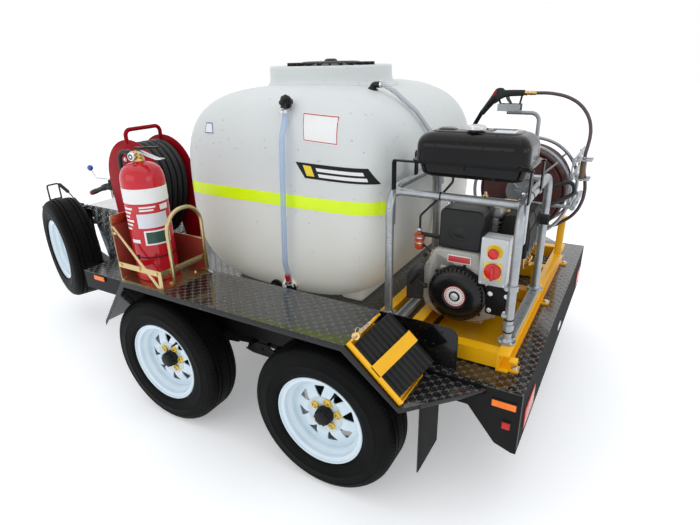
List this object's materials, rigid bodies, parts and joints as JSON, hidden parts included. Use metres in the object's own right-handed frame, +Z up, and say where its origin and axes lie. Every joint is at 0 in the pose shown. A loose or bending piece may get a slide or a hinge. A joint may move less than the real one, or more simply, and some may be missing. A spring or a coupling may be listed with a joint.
{
  "type": "trailer-mounted pressure washer",
  "caption": "Tandem-axle trailer with a moulded water tank, a diesel pressure-washer skid in a tube cage, a hose reel with its gun, and a fill hose on a hanger.",
  "frame": {"origin": "on the ground, under the middle of the trailer's length and width", "axes": "+X along the trailer to its rear, +Y to its right side, +Z up"},
  "size_m": [4.3019, 2.19, 1.66],
  "materials": {
    "black_paint": "gloss, wet",
    "tread_plate": "textured black tread plate",
    "lamp_lens": "moulded lens",
    "zinc_plate": "zinc plated",
    "black_rubber": "matt",
    "chequer_aluminium": "raised bar pattern",
    "tank_plastic": "moulded, slightly translucent",
    "black_plastic": "satin",
    "clear_hose": "braided clear",
    "red_paint": "gloss",
    "hose_rubber": "ribbed, satin",
    "chrome_rod": "polished",
    "gold_zinc": "gold passivated zinc",
    "yellow_paint": "gloss",
    "galvanised": "galvanised",
    "black_gloss": "gloss",
    "cast_alloy": "as cast",
    "pump_brass": "machined",
    "heat_black": "heat-resistant black",
    "red_plastic": "gloss",
    "maroon_hose": "satin",
    "brown_roller": "satin",
    "grey_plastic": "satin",
    "tyre": "moulded tread",
    "white_paint": "gloss"
  },
  "bodies": {
    "trailer": {"chassis_frame": "black_paint", "deck_plate": "tread_plate", "mudguards": "black_paint", "marker_lamps": "lamp_lens", "running_gear": "black_paint", "coupling": "zinc_plate", "toolbox": "chequer_aluminium", "water_tank": "tank_plastic", "clear_hoses": "clear_hose", "tank_fittings": "black_plastic", "hose_hanger": "red_paint", "fill_hose": "hose_rubber", "hose_valve": "black_plastic", "extinguisher": "red_paint", "extinguisher_hose": "black_rubber", "extinguisher_bracket": "gold_zinc", "wheel_chocks": "black_rubber", "chock_holder": "yellow_paint", "skid_frame": "yellow_paint", "galvanised_brackets": "galvanised", "cage": "galvanised", "fuel_tank": "black_gloss", "engine": "cast_alloy", "recoil_starter": "black_plastic", "air_cleaner": "black_plastic", "muffler": "heat_black", "control_box": "galvanised", "pressure_pump": "pump_brass", "service_hoses": "black_rubber", "reel_hose_tail": "maroon_hose", "hose_guide": "galvanised", "spray_gun": "black_plastic", "spare_tyre": "tyre", "spare_rim": "white_paint"},
    "wheel_front_left": {"tyre_front_left": "tyre", "rim_front_left": "white_paint"},
    "wheel_front_right": {"tyre_front_right": "tyre", "rim_front_right": "white_paint"},
    "wheel_rear_left": {"tyre_rear_left": "tyre", "rim_rear_left": "white_paint"},
    "wheel_rear_right": {"tyre_rear_right": "tyre", "rim_rear_right": "white_paint"},
    "coupling_latch": {"coupling_latch": "black_paint"},
    "brake_lever": {"brake_lever": "black_paint"},
    "jockey_tube": {"jockey_tube": "zinc_plate"},
    "jockey_leg": {"jockey_leg": "zinc_plate"},
    "jockey_wheel": {"jockey_wheel": "black_rubber"},
    "jockey_crank": {"jockey_crank": "zinc_plate"},
    "toolbox_lid": {"toolbox_lid": "chequer_aluminium"},
    "tank_lid": {"tank_lid": "black_plastic"},
    "valve_lever": {"valve_lever": "chrome_rod"},
    "extinguisher_lever": {"extinguisher_lever": "chrome_rod"},
    "fuel_cap": {"fuel_cap": "chrome_rod"},
    "starter_handle": {"starter_handle": "black_plastic"},
    "stop_button": {"stop_button": "red_plastic"},
    "isolator_knob": {"isolator_knob": "red_plastic"},
    "hose_reel": {"reel_drum": "galvanised", "reel_hose": "maroon_hose"},
    "guide_roller": {"guide_roller": "brown_roller"},
    "gun_trigger": {"gun_trigger": "grey_plastic"}
  },
  "joints": [
    {"name": "spin_front_left", "type": "hinge", "parent": "trailer", "child": "wheel_front_left", "pos_m": [0.52, -0.974, 0.325], "axis": [0, 1, 0], "continuous": true},
    {"name": "spin_front_right", "type": "hinge", "parent": "trailer", "child": "wheel_front_right", "pos_m": [0.52, 0.974, 0.325], "axis": [0, 1, 0], "continuous": true},
    {"name": "spin_rear_left", "type": "hinge", "parent": "trailer", "child": "wheel_rear_left", "pos_m": [1.409, -0.974, 0.325], "axis": [0, 1, 0], "continuous": true},
    {"name": "spin_rear_right", "type": "hinge", "parent": "trailer", "child": "wheel_rear_right", "pos_m": [1.409, 0.974, 0.325], "axis": [0, 1, 0], "continuous": true},
    {"name": "latch_pull", "type": "hinge", "parent": "trailer", "child": "coupling_latch", "pos_m": [-1.946, 0, 0.505], "axis": [0, 1, 0], "range_deg": [0, 40]},
    {"name": "brake_pull", "type": "hinge", "parent": "trailer", "child": "brake_lever", "pos_m": [-1.641, 0, 0.56], "axis": [0, 1, 0], "range_deg": [0, 60]},
    {"name": "jockey_swing", "type": "hinge", "parent": "trailer", "child": "jockey_tube", "pos_m": [-1.55834, 0.2935, 0.415], "axis": [0.2962, -0.9551, 0], "range_deg": [0, 90]},
    {"name": "jockey_lift", "type": "slide", "parent": "jockey_tube", "child": "jockey_leg", "axis": [0, 0, 1], "range_m": [0, 0.13]},
    {"name": "jockey_roll", "type": "hinge", "parent": "jockey_leg", "child": "jockey_wheel", "pos_m": [-1.55834, 0.2935, 0.112], "axis": [0.2962, -0.9551, 0], "continuous": true},
    {"name": "jockey_wind", "type": "hinge", "parent": "jockey_tube", "child": "jockey_crank", "pos_m": [-1.55834, 0.2935, 0.7], "axis": [0, 0, 1], "range_deg": [0, 4680]},
    {"name": "lid_lift", "type": "hinge", "parent": "trailer", "child": "toolbox_lid", "pos_m": [-0.3425, 0, 0.831], "axis": [0, 1, 0], "range_deg": [0, 85]},
    {"name": "manhole_lid", "type": "slide", "parent": "trailer", "child": "tank_lid", "axis": [0, 0, 1], "range_m": [0, 0.3]},
    {"name": "valve_turn", "type": "hinge", "parent": "trailer", "child": "valve_lever", "pos_m": [-0.359, -0.545, 1.026], "axis": [0, 0, 1], "range_deg": [0, 90]},
    {"name": "extinguisher_squeeze", "type": "hinge", "parent": "trailer", "child": "extinguisher_lever", "pos_m": [0.474, -0.955, 1.326], "axis": [0, 1, 0], "range_deg": [0, 12], "stiffness_Nm_per_rad": 8, "springref_deg": -2.86},
    {"name": "fuel_cap_turn", "type": "hinge", "parent": "trailer", "child": "fuel_cap", "pos_m": [1.81, -0.552, 1.417], "axis": [0, 0, 1], "range_deg": [0, 90]},
    {"name": "starter_pull", "type": "slide", "parent": "trailer", "child": "starter_handle", "axis": [-0.267, -0.8469, 0.4599], "range_m": [0, 0.5], "stiffness_N_per_m": 6, "springref_m": -0.3},
    {"name": "stop_push", "type": "slide", "parent": "trailer", "child": "stop_button", "axis": [0, 1, 0], "range_m": [0, 0.004], "stiffness_N_per_m": 900, "springref_m": -0.002},
    {"name": "isolator_turn", "type": "hinge", "parent": "trailer", "child": "isolator_knob", "pos_m": [1.932, -0.617, 0.912], "axis": [0, 1, 0], "range_deg": [0, 90]},
    {"name": "reel_turn", "type": "hinge", "parent": "trailer", "child": "hose_reel", "pos_m": [1.865, 0.2, 1.053], "axis": [0, 1, 0], "continuous": true},
    {"name": "roller_turn", "type": "hinge", "parent": "trailer", "child": "guide_roller", "pos_m": [2.115, 0.158, 1.165], "axis": [0, 0, 1], "continuous": true},
    {"name": "trigger_pull", "type": "hinge", "parent": "trailer", "child": "gun_trigger", "pos_m": [1.709, 0.3, 1.476], "axis": [0, 1, 0], "range_deg": [0, 15], "stiffness_Nm_per_rad": 1.2, "springref_deg": -5.73}
  ],
  "couplings": [
    {"joint": "jockey_lift", "follows": "jockey_wind", "m_per_rad": 0.0015915}
  ]
}
